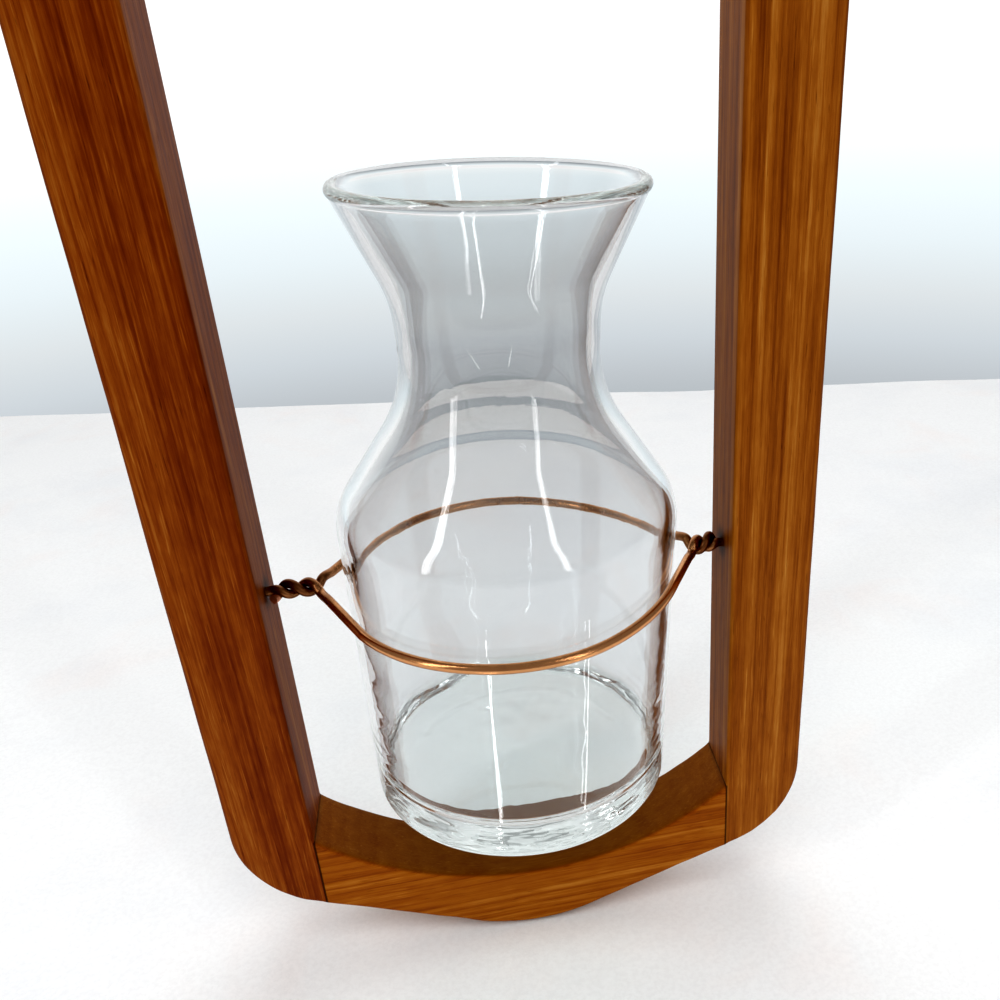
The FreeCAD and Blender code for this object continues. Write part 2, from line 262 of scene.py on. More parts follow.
@dataclass(frozen=True)
class WoodFinish:
    """Stained softwood under a satin lacquer.

    Stripes lie across the turned X axis and fibres run along the turned Z
    axis. Tones go from dark to light. Bands say how light the wide stripes
    are, by their places in millimetres.
    """

    name: str
    turn: tuple[float, float, float]
    shift: tuple[float, float, float]
    tones: tuple[Colour, Colour, Colour, Colour]
    bands: tuple[tuple[float, float], ...]
    ring: float = 1.6
    ring_share: float = 0.1
    streak_share: float = 0.7
    line_share: float = 0.6
    fibre_share: float = 0.45
    seam: float = 49.0
    middle: float = -165.46
    half_open: float = 130.0
    hinge: float = -233.4
    pin_hole_dark: Colour = (0.03, 0.008, 0.004)
    glue_line: Colour = (0.012, 0.004, 0.002)

    def tone(self, r: Recipe, grain: Field, hollow: Field) -> tuple[Field, Field]:
        """Work out how light the stain is.

        Wide stripes at set places, faint yearly layers, wandering streaks,
        long thin lines, short light dashes and soft blotches are added up.

        Args:
            r: the recipe.
            grain: the turned position, in millimetres.
            hollow: 1 where the surface is the hollow, which is painted in shade, and whose figure is fainter
                there.

        Returns:
            The lightness, from 0 to 1, and the fibres alone.
        """
        wander = r.noise(grain, (0.07, 0.07, 0.01), 2.0)
        across = r.axis(grain, "X") + (wander - 0.5) * 4.0
        turns = r.maths("FRACT", across / self.ring)
        late = r.step(turns, 0.25, 0.9) - r.step(turns, 0.93, 1.0)
        streak = r.noise(grain, (0.4, 0.4, 0.01), 3.0, 0.55, 0.3)
        line = r.noise(grain, (1.5, 1.5, 0.014), 2.0)
        fibre = r.noise(grain, (3.6, 3.6, 0.14), 3.0, 0.65)
        dash = r.step(r.noise(grain, (2.4, 2.4, 0.1), 1.0), 0.6, 0.74)
        blotch = r.noise(grain, (0.3, 0.3, 0.09), 4.0, 0.65)
        low, high = self.bands[0][0], self.bands[-1][0]
        stops = [((x - low) / (high - low), (v, v, v)) for x, v in self.bands]
        band = r.axis(r.ramp((across - low) / (high - low), stops), "X")
        figure = (band - 0.5 - late * self.ring_share + (streak - 0.5) * self.streak_share
                  + (line - 0.5) * self.line_share)
        light = 0.5 + figure * (1 - hollow * 0.7) + dash * 0.16 + (fibre - 0.5) * self.fibre_share
        return light + (blotch - 0.5) * 0.4, fibre

    def material(self) -> bpy.types.Material:
        """Colour the tone, with painted shade in the hollow, and darker at the joints and by the wire.

        Returns:
            The finished material.
        """
        r = Recipe(self.name)
        hollow = r.node("ShaderNodeAttribute", {"attribute_name": "hollow"}, out="Fac")
        edge = r.node("ShaderNodeAttribute", {"attribute_name": "edge"}, out="Fac")
        grain = r.place(self.turn, self.shift)
        light, fibre = self.tone(r, grain, hollow)
        colour = r.ramp(light, list(zip((0.1, 0.4, 0.6, 0.9), self.tones)))
        pores = r.step(r.noise(grain, (3.2, 3.2, 0.22), 1.0), 0.7, 0.78)
        colour = r.mix(pores * 0.4, colour, self.tones[0], "MULTIPLY")
        colour = r.mix(edge * 0.5, colour, self.tones[0])
        # Painted shade: the rail's hollow is multiplied by a cool grey.
        colour = r.mix(hollow, colour, (0.52, 0.54, 0.62), "MULTIPLY")
        plain = r.place()
        side = r.maths("ABSOLUTE", r.axis(plain, "X"))
        level = r.maths("ABSOLUTE", r.axis(plain, "Z") - self.middle)
        joint = r.step(r.maths("ABSOLUTE", side - self.seam), 0.1, 0.35, 1.0, 0.0)
        joint = joint * r.step(level, self.half_open - 0.1, self.half_open + 0.2)
        # Darker round the wire's hole in the post's inner face.
        depth, height = r.axis(plain, "Y"), r.axis(plain, "Z") - self.hinge
        pin_hole_darkening = r.step((depth * depth + height * height) ** 0.5, 1.2, 5.0, 1.0, 0.0)
        pin_hole_darkening = pin_hole_darkening * r.step(side, self.seam + 0.6, self.seam + 1.4, 1.0, 0.0)
        colour = r.mix(pin_hole_darkening * 0.9, colour, self.pin_hole_dark)
        colour = r.mix(joint * 0.75, colour, self.glue_line)
        return r.finish(r.node("ShaderNodeBsdfPrincipled", inputs={
            "Base Color": colour, "Roughness": 0.48 + (fibre - 0.5) * 0.25 + pores * 0.15,
            "Normal": r.bump(0.3, 0.1 * MM, fibre * 0.6 - pores * 0.6 + light * 0.4),
            "Specular IOR Level": 0.12}))


@dataclass(frozen=True)
class DowelFinish:
    """Bare beech of the hidden dowels."""

    name: str = "dowel_beech"
    dark: Colour = (0.5, 0.31, 0.16)
    pale: Colour = (0.66, 0.45, 0.26)
    speck: Colour = (0.33, 0.17, 0.08)

    def material(self) -> bpy.types.Material:
        """Lay short dark flecks on a pale ground, along X.

        Returns:
            The finished material.
        """
        r = Recipe(self.name)
        spot = r.place()
        fleck = r.step(r.noise(spot, (0.4, 3.0, 3.0), 2.0), 0.56, 0.66)
        soft = r.noise(spot, (0.08, 0.8, 0.8), 3.0)
        colour = r.mix(fleck * 0.5, r.ramp(soft, [(0.3, self.dark), (0.7, self.pale)]), self.speck)
        return r.finish(r.node("ShaderNodeBsdfPrincipled", inputs={
            "Base Color": colour, "Roughness": 0.6 + fleck * 0.2, "Normal": r.bump(0.3, 0.1 * MM, soft)}))


@dataclass(frozen=True)
class CopperFinish:
    """Bare copper wire: bright where it is handled, brown in the twists."""

    name: str = "copper_wire"
    bright: Colour = (0.68, 0.36, 0.175)
    brown: Colour = (0.22, 0.095, 0.042)
    cut: Colour = (0.93, 0.50, 0.34)

    def material(self) -> bpy.types.Material:
        """Mix bright and brown copper by noise and by the wire's own patina.

        Returns:
            The finished material.
        """
        r = Recipe(self.name)
        spot = r.place()
        dull = r.node("ShaderNodeAttribute", {"attribute_name": "patina"}, out="Fac")
        fresh = r.node("ShaderNodeAttribute", {"attribute_name": "cut"}, out="Fac")
        cloud = r.noise(spot, (0.25, 0.25, 0.25), 4.0, 0.65)
        fine = r.noise(spot, (3.0, 3.0, 3.0), 3.0, 0.6)
        share = r.step(dull + (cloud - 0.5) * 1.1 + (fine - 0.5) * 0.25, 0.1, 0.95)
        colour = r.mix(share, self.bright, self.brown)
        colour = r.mix(fresh, colour, self.cut)
        rough = 0.2 + share * 0.2 + (fine - 0.5) * 0.2 + fresh * 0.15
        return r.finish(r.node("ShaderNodeBsdfPrincipled", inputs={
            "Base Color": colour, "Metallic": 1.0, "Roughness": rough,
            "Normal": r.bump(0.25, 0.1 * MM, fine * 0.6 + cloud * 0.4)}))


@dataclass(frozen=True)
class GlassFinish:
    """Pressed soda glass with a faint green body colour.

    Fades are the heights in millimetres between which a tint comes or goes.
    """

    name: str = "soda_glass"
    neck_shade_fades: tuple[float, float, float, float] = (-222.0, -200.0, -168.0, -158.0)
    base_fades: tuple[float, float] = (-279.5, -276.0)
    clear: Colour = (0.9, 0.912, 0.92)
    grey: Colour = (0.815, 0.815, 0.815)
    green: Colour = (0.86, 0.905, 0.9)
    body: Colour = (0.62, 0.84, 0.78)

    def material(self) -> bpy.types.Material:
        """Make clear glass, greyer in the neck as painted shade, and greener in the base.

        Lamps shine through it, so it casts a pale shadow.

        Returns:
            The finished material.
        """
        r = Recipe(self.name)
        spot = r.place()
        cord = r.noise(spot, (0.12, 0.12, 0.3), 3.0, 0.6, 0.6)
        height = r.axis(spot, "Z")
        # Painted shade: the shoulder and neck are tinted grey, less so towards the lip.
        neck = r.step(height, *self.neck_shade_fades[:2]) - r.step(height, *self.neck_shade_fades[2:]) * 0.6
        base = r.step(height, *self.base_fades, 1.0, 0.0)
        tint = r.mix(base, r.mix(neck, self.clear, self.grey), self.green)
        glass = r.node("ShaderNodeBsdfPrincipled", inputs={
            "Base Color": tint, "Roughness": 0.0, "IOR": 1.5, "Transmission Weight": 1.0,
            "Normal": r.bump(0.006, MM, cord)})
        lamp = r.node("ShaderNodeLightPath", out="Is Shadow Ray")
        through = r.node("ShaderNodeBsdfTransparent", inputs={"Color": (0.86, 0.9, 0.89, 1.0)})
        surface = r.node("ShaderNodeMixShader", inputs={0: lamp, 1: glass, 2: through})
        inside = r.node("ShaderNodeVolumeAbsorption", inputs={
            "Color": (*self.body, 1.0), "Density": 1.5})
        return r.finish(surface, inside)


@dataclass(frozen=True)
class ClothFinish:
    """The white ground under the frame."""

    name: str = "white_ground"
    white: Colour = (0.91, 0.92, 0.925)
    rosy: Colour = (0.91, 0.85, 0.83)
    grey: Colour = (0.83, 0.85, 0.875)
    thread: Colour = (0.6, 0.59, 0.6)

    def material(self) -> bpy.types.Material:
        """Lay faint warm and grey clouds and a fine tooth on white.

        Returns:
            The finished material.
        """
        r = Recipe(self.name)
        spot = r.place()
        cloud = r.noise(spot, (0.012, 0.012, 0.012), 4.0, 0.6)
        warm = r.noise(spot, (0.02, 0.02, 0.02), 3.0, 0.6, 0.5)
        colour = r.mix(r.step(warm, 0.5, 0.75) * 0.4, self.white, self.rosy)
        colour = r.mix(r.step(cloud, 0.45, 0.7) * 0.5, colour, self.grey)
        tooth = r.noise(spot, (0.9, 0.9, 0.9), 3.0, 0.7)
        colour = r.mix(r.step(tooth, 0.35, 0.7) * 0.14, colour, self.thread)
        return r.finish(r.node("ShaderNodeBsdfPrincipled", inputs={
            "Base Color": colour, "Roughness": 0.85, "Normal": r.bump(0.2, MM, tooth * 0.2 + cloud)}))


# Surfaces


def rounded_path(corners: Sequence[tuple[float, float]], radii: Sequence[float], steps: int = 24) -> Array:
    """A polyline through corners (across, up), each rounded to its radius.

    A round reaches radius * tan(half the turn) along both its sides. Where two
    rounds do not fit on a side, both shrink in that side's share. The round
    itself is the conic of the corner's triangle, weighted by the cosine of
    half the turn, which is the circle's arc.

    Args:
        corners: the corners, from the first end to the last.
        radii: the radius at each corner between the ends.
        steps: points along each round.

    Returns:
        The points, one row each.
    """
    spots = np.array(corners, float)
    sides = np.diff(spots, axis=0)
    lengths = np.hypot(*sides.T)
    ways = sides / lengths[:, None]
    turn = np.arccos(np.clip((ways[:-1] * ways[1:]).sum(1), -1, 1))
    reach = np.concatenate(([0.0], np.array(radii, float) * np.tan(turn / 2), [0.0]))
    share = np.minimum(1.0, lengths / np.maximum(reach[:-1] + reach[1:], 1e-9))
    reach[1:-1] *= np.minimum(share[:-1], share[1:])
    t = np.linspace(0, 1, steps)[:, None]
    rows = [spots[:1]]
    for i, angle in enumerate(turn, 1):
        start, end = spots[i] - ways[i - 1] * reach[i], spots[i] + ways[i] * reach[i]
        weights = (1 - t) ** 2, 2 * math.cos(angle / 2) * t * (1 - t), t ** 2
        rows.append((weights[0] * start + weights[1] * spots[i] + weights[2] * end) / sum(weights)
                    if reach[i] > 0 else spots[i:i + 1])
    return np.concatenate([*rows, spots[-1:]])


def run_of(path: Array) -> Array:
    """The distance along a polyline at each of its points."""
    return np.concatenate(([0.0], np.cumsum(np.linalg.norm(np.diff(path, axis=0), axis=1))))


def resample(path: Array, places: Array) -> Array:
    """Pick points of a polyline.

    Args:
        path: the polyline.
        places: distances along it.

    Returns:
        The point at each distance, between the polyline's own in proportion.
    """
    run = run_of(path)
    return np.stack([np.interp(places, run, column) for column in path.T], 1)


def inset(path: Array, gap: float) -> Array:
    """Move a polyline to its left, each corner along its mitre.

    Args:
        path: the polyline, in two coordinates.
        gap: how far each side moves.

    Returns:
        The moved points.
    """
    ways = np.diff(path, axis=0)
    ways = ways / np.hypot(*ways.T)[:, None]
    side = np.stack([-ways[:, 1], ways[:, 0]], 1)
    first, second = np.vstack([side[:1], side]), np.vstack([side, side[-1:]])
    return path + (first + second) * (gap / (1 + (first * second).sum(1)))[:, None]


def hermite(t: Array, ends: Sequence[Array], slopes: Sequence[Array]) -> Array:
    """The cubic between two ends that has the given slopes there, at t from 0 to 1."""
    return ((2 * t ** 3 - 3 * t ** 2 + 1) * ends[0] + (t ** 3 - 2 * t ** 2 + t) * slopes[0]
            + (3 * t ** 2 - 2 * t ** 3) * ends[1] + (t ** 3 - t ** 2) * slopes[1])


def ripple(spots: Array, seed: int, pitch: Sequence[float], waves: int = 9) -> Array:
    """A smooth uneven field, about -1 to 1.

    It is the sum of sine waves in seeded directions.

    Args:
        spots: the points, one row each.
        seed: the seed of the directions, lengths and phases.
        pitch: the wave length on each axis, which varies by 0.6 to 1.8 times.
        waves: how many waves are added up.

    Returns:
        The field at each point.
    """
    rng = np.random.default_rng(seed)
    ways = rng.normal(size=(waves, spots.shape[-1]))
    ways /= np.linalg.norm(ways, axis=1)[:, None]
    ways *= 2 * np.pi / rng.uniform(0.6, 1.8, (waves, 1)) / np.array(pitch)
    phases = rng.uniform(0, 2 * np.pi, waves)
    return np.sin(spots @ ways.T + phases).sum(-1) / math.sqrt(waves)


def lattice(rows: int, columns: int, start: int = 0, closed: bool = False) -> Array:
    """The quads of a grid of points numbered row by row from start.

    Args:
        rows: rows of points.
        columns: points in a row.
        start: the first point's number.
        closed: whether the last point of a row joins the first.

    Returns:
        Four point numbers a row.
    """
    number = np.arange(rows * columns).reshape(rows, columns) + start
    if closed:
        number = np.hstack([number, number[:, :1]])
    a, b, c, d = number[:-1, :-1], number[:-1, 1:], number[1:, 1:], number[1:, :-1]
    return np.stack([a, b, c, d], -1).reshape(-1, 4)


def fan(ring: Array, hub: int) -> Array:
    """The triangles between a closed ring of point numbers and a hub."""
    return np.stack([ring, np.roll(ring, -1), np.full(len(ring), hub)], 1)


def solid(name: str, spots: Array, faces: Iterable[Array], sharp: float = 40.0) -> bpy.types.Object:
    """Make a closed piece.

    Points that coincide are merged and the faces are turned outwards.

    Args:
        name: the piece's name.
        spots: the points, in millimetres.
        faces: arrays of point numbers, a face in each row.
        sharp: the least angle of an edge that stays sharp, in degrees.

    Returns:
        The piece.
    """
    mesh = bpy.data.meshes.new(name)
    mesh.from_pydata((spots * MM).tolist(), [], [row for part in faces for row in part.tolist()])
    work = bmesh.new()
    work.from_mesh(mesh)
    bmesh.ops.remove_doubles(work, verts=work.verts, dist=1e-6)
    bmesh.ops.dissolve_degenerate(work, edges=work.edges, dist=1e-7)
    bmesh.ops.recalc_face_normals(work, faces=work.faces)
    work.to_mesh(mesh)
    work.free()
    made = bpy.data.objects.new(name, mesh)
    bpy.context.scene.collection.objects.link(made)
    smooth(mesh, sharp)
    return made


def smooth(mesh: bpy.types.Mesh, sharp: float) -> None:
    """Shade a mesh smooth, but for its sharp edges.

    Args:
        mesh: the mesh.
        sharp: the least angle of an edge that stays sharp, in degrees.
    """
    mesh.polygons.foreach_set("use_smooth", np.ones(len(mesh.polygons), bool))
    mesh.set_sharp_from_angle(angle=math.radians(sharp))
    mesh.update()


def points_of(mesh: bpy.types.Mesh) -> Array:
    """Read the points of a mesh.

    Args:
        mesh: the mesh.

    Returns:
        The points in millimetres, one row each.
    """
    flat = np.empty(len(mesh.vertices) * 3, np.float32)
    mesh.vertices.foreach_get("co", flat)
    return flat.reshape(-1, 3).astype(float) / MM


def normals_of(mesh: bpy.types.Mesh) -> Array:
    """Read the normals at the points of a mesh.

    Args:
        mesh: the mesh.

    Returns:
        A unit vector for each point, one row each.
    """
    flat = np.empty(len(mesh.vertices) * 3, np.float32)
    mesh.vertex_normals.foreach_get("vector", flat)
    return flat.reshape(-1, 3).astype(float)


def move_points(mesh: bpy.types.Mesh, spots: Array) -> None:
    """Put the points of a mesh at new places in millimetres."""
    mesh.vertices.foreach_set("co", (spots * MM).astype(np.float32).ravel())
    mesh.update()


def mark(mesh: bpy.types.Mesh, name: str, values: Array) -> None:
    """Keep a number at each point of a mesh."""
    mesh.attributes.new(name, "FLOAT", "POINT").data.foreach_set("value", values.astype(np.float32))


def hand_over(piece: bpy.types.Object, body: Body, slot: Slot, material: bpy.types.Material,
              *nodes: str) -> None:
    """Dress a finished piece, put it on its body and hide the nodes that it replaces.

    Args:
        piece: the piece.
        body: the body that it rides on.
        slot: not used.
        material: the material that it wears.
        nodes: the nodes that it replaces.
    """
    piece.data.materials.clear()
    piece.data.materials.append(material)
    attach(piece, body.value)
    if nodes:
        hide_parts(*nodes)
    LOG.info("%s: %d points on %s", piece.name, len(piece.data.vertices), body.value)


# The wooden frame


@dataclass(frozen=True)
class Timber:
    """The sizes that the posts and the rails share."""

    half_clear: float = 49.00005
    bar: float = 18.0
    half_depth: float = 9.0
    joint: float = 19.5
    sag: float = 18.4
    slope: float = math.tan(math.radians(21.0))
    keel_round: float = 40.0
    corner_round: float = 24.0
    ease: float = 1.0
    seam_ease: float = 0.07
    head: float = -35.4635
    sill: float = -295.4635
    hinge: float = -233.3635
    pin_hole: float = 1.105
    pin_room: float = 11.5
    hang_hole: float = 3.0
    dowel_hole: float = 2.55
    dowel_room: float = 8.5
    dowel_drop: float = 10.803
    dowel_half_pitch: float = 4.2
    wear: float = 0.05
    edge_wear: float = 0.06

    def bar_between(self, name: str, near: Array, far: Array, near_ease: Array,
                    far_ease: Array) -> bpy.types.Object:
        """A bar whose front and back faces lie between two chains of points.

        Both faces are ruled from one chain to the other. Round the outline the
        faces are inset by the ease, and a quarter circle of that radius joins
        each to the flat side between them.

        Args:
            name: the piece's name.
            near: points (x, z) of one chain.
            far: as many points of the other.
            near_ease: the rounding radius on each stretch of near.
            far_ease: the same on far.

        Returns:
            The piece.
        """
        columns, arc_steps, side_steps = 12, 5, 10
        t = np.linspace(0, 1, columns + 1)[:, None]
        high = near[-1] * (1 - t) + far[-1] * t
        low = far[0] * (1 - t) + near[0] * t
        outline = np.vstack([near, high[1:], far[-2::-1], low[1:-1]])
        seam = np.full(columns, self.seam_ease)
        eases = np.concatenate([near_ease, seam, far_ease[::-1], seam])
        fresh = np.linalg.norm(outline - np.roll(outline, 1, 0), axis=1) > 1e-6
        number = (np.cumsum(fresh) - 1) % fresh.sum()
        loop = outline[fresh]
        entering = np.roll(eases, 1)[fresh]
        offset, depth = self.mitres(loop, entering)
        rows, width = len(near), columns + 1
        near_at = number[:rows]
        high_at = number[rows - 1:rows + columns]
        far_at = number[rows + columns - 1:2 * rows + columns - 1][::-1]
        low_at = np.concatenate([number[2 * rows + columns - 2:], number[:1]])[::-1]
        rim = loop + offset
        face = rim[near_at][:, None] * (1 - t) + rim[far_at][:, None] * t
        face[0], face[-1] = rim[low_at], rim[high_at]
        sheets = [np.stack([face[..., 0], np.full(face.shape[:2], y), face[..., 1]], -1).reshape(-1, 3)
                  for y in (-self.half_depth, self.half_depth)]
        turn = np.linspace(0, np.pi / 2, arc_steps + 1)
        hold = np.concatenate([1 - np.sin(turn), np.zeros(side_steps - 1), 1 - np.sin(turn[::-1])])
        back = np.concatenate([1 - np.cos(turn), np.ones(side_steps - 1), 1 - np.cos(turn[::-1])])
        level = np.concatenate([-np.ones(arc_steps), np.linspace(-1, 1, side_steps + 1), np.ones(arc_steps)])
        flat = loop + offset * hold[:, None, None]
        y = level[:, None] * (self.half_depth - depth * back[:, None])
        wall = np.stack([flat[..., 0], y, flat[..., 1]], -1)
        spots = np.vstack([*sheets, wall.reshape(-1, 3)])
        quads = [lattice(rows, width), lattice(rows, width, rows * width)[:, ::-1],
                 lattice(len(hold), len(loop), 2 * rows * width, closed=True)]
        return solid(name, spots, quads)

    @staticmethod
    def mitres(loop: Array, entering: Array) -> tuple[Array, Array]:
        """Find how far each outline point moves in for its rounding.

        The move lies at the ease of the stretch before and of the stretch
        after along their own normals.

        Args:
            loop: the outline's points, one row each.
            entering: the ease of the stretch that ends at each point.

        Returns:
            The move of each point, and its rounding depth.
        """
        way = loop - np.roll(loop, 1, 0)
        way /= np.linalg.norm(way, axis=1)[:, None]
        area = (loop[:, 0] * np.roll(loop[:, 1], -1) - np.roll(loop[:, 0], -1) * loop[:, 1]).sum()
        first = np.stack([way[:, 1], -way[:, 0]], 1) * np.sign(area)
        second = np.roll(first, -1, 0)
        leaving = np.roll(entering, -1)
        c = (first * second).sum(1)
        along = c > 0.98
        share = np.where(along, 1.0, 1 - c ** 2)
        a = np.where(along, (entering + leaving) / 4, (entering - c * leaving) / share)
        b = np.where(along, (entering + leaving) / 4, (leaving - c * entering) / share)
        return -(a[:, None] * first + b[:, None] * second), np.maximum(entering, leaving)

    def rod(self, start: Sequence[float], end: Sequence[float], radius: float) -> tuple[Array, list[Array]]:
        """Make a round cutter of two circles, joined, with a fan in each.

        Args:
            start: the middle of one end.
            end: the middle of the other.
            radius: its radius.

        Returns:
            The points and the arrays of faces.
        """
        a, b = np.array(start, float), np.array(end, float)
        way = (b - a) / np.linalg.norm(b - a)
        side = np.cross(way, (0.0, 1.0, 0.0))
        side /= np.linalg.norm(side)
        count = 32
        angle = np.linspace(0, 2 * np.pi, count, endpoint=False)[:, None]
        ring = radius * (np.cos(angle) * side + np.sin(angle) * np.cross(way, side))
        spots = np.vstack([a + ring, b + ring, a, b])
        numbers = np.arange(count)
        return spots, [lattice(2, count, closed=True), fan(numbers[::-1], 2 * count),
                       fan(numbers + count, 2 * count + 1)]

    def drill(self, piece: bpy.types.Object, rods: Sequence[tuple[Array, list[Array]]]) -> None:
        """Take round holes out of a piece.

        Args:
            piece: the piece.
            rods: the points and faces of each cutter.
        """
        for spots, faces in rods:
            cutter = solid("cutter", spots, faces)
            change = piece.modifiers.new("hole", "BOOLEAN")
            change.operation, change.solver, change.object = "DIFFERENCE", "EXACT", cutter
            bpy.context.view_layer.update()
            done = bpy.data.meshes.new_from_object(piece.evaluated_get(bpy.context.evaluated_depsgraph_get()))
            piece.modifiers.clear()
            old, piece.data = piece.data, done
            bpy.data.meshes.remove(old)
            bpy.data.objects.remove(cutter)
        piece.data.name = piece.name
        smooth(piece.data, 40.0)

    def sand(self, piece: bpy.types.Object, seed: int, hollow: float = 0.0) -> None:
        """Leave a hand-sanded surface, and mark its edges and its hollow side, which the finish paints in
        shade.

        Each point sinks along its normal by up to a tenth of a millimetre, and
        more on the eased edges, whose normals lie between front and side. The
        faces of the joints stay flat.

        Args:
            piece: the piece.
            seed: the seed of the unevenness.
            hollow: 1 where the hollow side, which is painted in shade, faces up, -1 where it faces down.
        """
        spots, normals = points_of(piece.data), normals_of(piece.data)
        from_joint = np.abs(np.abs(spots[:, 0]) - self.half_clear)
        edge = np.clip(1.15 - np.abs(2 * normals[:, 1] ** 2 - 1) * 1.3, 0, 1) * (from_joint > 0.6)
        broad, close = ripple(spots, seed, (14, 14, 30)), ripple(spots, seed + 1, (6, 6, 6))
        dip = self.wear * (1 + broad) + edge * self.edge_wear * (1 + close)
        move_points(piece.data, spots - normals * (np.clip(dip, 0, 0.3) * (from_joint > 0.05))[:, None])
        mark(piece.data, "edge", edge)
        # The hollow side gets a mark that the finish paints in shade.
        mark(piece.data, "hollow", np.clip((normals[:, 2] * hollow - 0.5) / 0.35, 0, 1))

    def dowel_rods(self, side: int, level: Level) -> list[tuple[Array, list[Array]]]:
        """Make the cutters of one joint's two dowel holes.

        Args:
            side: -1 for the left post's joint, 1 for the right post's.
            level: the joint's rail.

        Returns:
            The points and faces of each cutter.
        """
        z = self.sill - self.dowel_drop if level is Level.LOWER else self.head + self.dowel_drop
        x = side * self.half_clear
        return [self.rod((x - self.dowel_room, y, z), (x + self.dowel_room, y, z), self.dowel_hole)
                for y in (-self.dowel_half_pitch, self.dowel_half_pitch)]


@dataclass(frozen=True)
class Post:
    """One upright of the frame, its outer corners rounded."""

    side: int
    finish: WoodFinish
    slot: Slot
    wood: Timber = Timber()

    def build(self) -> None:
        """Rule the post from its straight inner edge to its round outer one."""
        w = self.wood
        low, high = w.sill - w.joint, w.head + w.joint
        outer, rise = w.half_clear + w.bar, w.bar * w.slope
        path = rounded_path([(w.half_clear, low), (outer, low + rise), (outer, high - rise),
                             (w.half_clear, high)], [w.corner_round] * 2, 60)
        run = run_of(path)[-1]
        # The round corner takes this much of the outer edge at each end.
        bend = 34.0
        places = np.concatenate([np.linspace(0, bend, 27)[:-1], np.linspace(bend, run - bend, 131),
                                 np.linspace(run - bend, run, 27)[1:]])
        far = resample(path, places)
        reach = np.interp(bend, places, far[:, 1]) - low
        z = np.where(places < bend, low + places / bend * reach,
                     np.where(places > run - bend, high - (run - places) / bend * reach, far[:, 1]))
        near = np.stack([np.full(len(z), w.half_clear), z], 1)
        middle = (z[1:] + z[:-1]) / 2
        bare = (middle > w.sill) & (middle < w.head)
        near_ease = np.where(bare, w.ease, w.seam_ease)
        far_ease = np.full(len(z) - 1, w.ease)
        flip = np.array([self.side, 1.0])
        name = ("left" if self.side < 0 else "right") + "_post"
        piece = w.bar_between(name + "_wood", near * flip, far * flip, near_ease, far_ease)
        x = self.side * w.half_clear
        mouth, end = x - self.side * 4, x + self.side * w.pin_room
        rods = [w.rod((mouth, 0, w.hinge), (end, 0, w.hinge), w.pin_hole)]
        w.sand(piece, 11 + self.side)
        w.drill(piece, rods + w.dowel_rods(self.side, Level.LOWER) + w.dowel_rods(self.side, Level.UPPER))
        hand_over(piece, Body.FRAME, self.slot, self.finish.material(), name)


@dataclass(frozen=True)
class Rail:
    """A rail with one hollow side and one keeled side."""

    level: Level
    finish: WoodFinish
    wood: Timber = Timber()

    def build(self) -> None:
        """Rule the rail from its hollow to its keel.

        The hollow is part of a circle through the rail's ends, and the keel is
        two slopes joined by a round.
        """
        w = self.wood
        x = np.linspace(-w.half_clear, w.half_clear, 101)
        scoop_r = (w.half_clear ** 2 + w.sag ** 2) / (2 * w.sag)
        scoop = scoop_r - w.sag - np.sqrt(scoop_r ** 2 - x ** 2)
        straight = -w.joint - (w.half_clear - np.abs(x)) * w.slope
        round_x = w.keel_round * math.sin(math.atan(w.slope))
        keel = w.head + w.keel_round - np.sqrt(np.maximum(w.keel_round ** 2 - x ** 2, 0))
        keel = np.where(np.abs(x) < round_x, keel, straight)
        place = (lambda z: z + w.sill) if self.level is Level.LOWER else (lambda z: w.head - z)
        ease = np.full(len(x) - 1, w.ease)
        name = self.level.value
        piece = w.bar_between(name + "_wood", np.stack([x, place(scoop)], 1), np.stack([x, place(keel)], 1),
                              ease, ease)
        rods = w.dowel_rods(-1, self.level) + w.dowel_rods(1, self.level)
        if self.level is Level.UPPER:
            rods.append(w.rod((0, 0, w.head - 5), (0, 0, 5), w.hang_hole))
        w.sand(piece, *((21, 1.0) if self.level is Level.LOWER else (25, -1.0)))
        w.drill(piece, rods)
        hand_over(piece, Body.FRAME, Slot.RAIL, self.finish.material(), name)


@dataclass(frozen=True)
class Dowels:
    """The eight dowels inside the joints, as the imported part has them."""

    finish: DowelFinish = DowelFinish()

    def dress(self) -> None:
        """Give every dowel its wood."""
        material = self.finish.material()
        for name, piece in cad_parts.items():
            if name.startswith("dowel_"):
                piece.data.materials.clear()
                piece.data.materials.append(material)
                LOG.info("%s dressed", name)


# The glass


